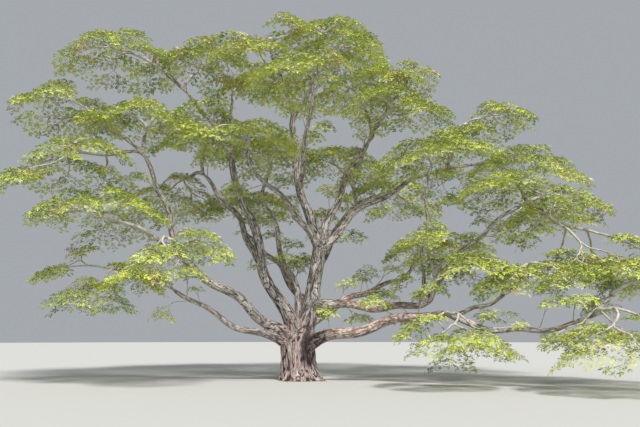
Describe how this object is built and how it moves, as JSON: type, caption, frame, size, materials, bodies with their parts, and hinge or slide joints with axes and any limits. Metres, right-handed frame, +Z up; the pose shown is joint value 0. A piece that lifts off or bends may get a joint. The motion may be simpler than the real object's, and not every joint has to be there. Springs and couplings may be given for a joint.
{
  "type": "spreading amur cork tree in spring leaf",
  "caption": "Old broad-crowned tree in fresh spring leaf: short thick leaning bole with root flare, low forked spreading boughs and layered flat domes of leafy twigs.",
  "frame": {"origin": "middle of the flat cut under the trunk, at ground level", "axes": "+X to the right of the picture, along the crown's longest spread; +Y away from the camera; +Z up"},
  "size_m": [23.9383, 16.2523, 13.7455],
  "materials": {
    "trunk_bark": "rough corky bark, deeply furrowed",
    "bough_bark": "rough bark, mottled",
    "foliage": "fresh leaves, soft satin"
  },
  "bodies": {
    "root": {"trunk": "trunk_bark", "leader": "bough_bark", "leader_left": "bough_bark", "leader_right": "bough_bark", "front_high": "bough_bark", "upper_left": "bough_bark", "upper_right": "bough_bark", "right_fork": "bough_bark", "far_right": "bough_bark", "left_riser": "bough_bark", "riser_left": "bough_bark", "riser_right": "bough_bark", "left_fork": "bough_bark", "left_inner": "bough_bark", "left_long": "bough_bark", "left_long_riser": "bough_bark", "left_low": "bough_bark", "right_upper": "bough_bark", "right_diagonal": "bough_bark", "right_upright": "bough_bark", "right_lower": "bough_bark", "right_outer": "bough_bark", "right_shelf": "bough_bark", "right_back": "bough_bark", "back_left": "bough_bark", "back_right": "bough_bark", "top_left": "foliage", "top_middle": "foliage", "top_front": "foliage", "top_right": "foliage", "right_crown": "foliage", "right_of_leader": "foliage", "far_right_top": "foliage", "far_right_side": "foliage", "riser_top": "foliage", "thin_top": "foliage", "left_top": "foliage", "left_side": "foliage", "left_side_top": "foliage", "left_upper": "foliage", "left_back_high": "foliage", "left_back_low": "foliage", "centre_left": "foliage", "left_wing": "foliage", "left_front": "foliage", "left_skirt": "foliage", "back_inner": "foliage", "back_left_dome": "foliage", "back_right_dome": "foliage", "back_right_side": "foliage", "back_right_skirt": "foliage", "right_inner": "foliage", "right_wing": "foliage", "right_slope": "foliage", "right_tip": "foliage", "right_mid": "foliage", "right_ledge": "foliage", "right_skirt": "foliage", "right_end": "foliage", "right_low": "foliage"}
  },
  "joints": []
}
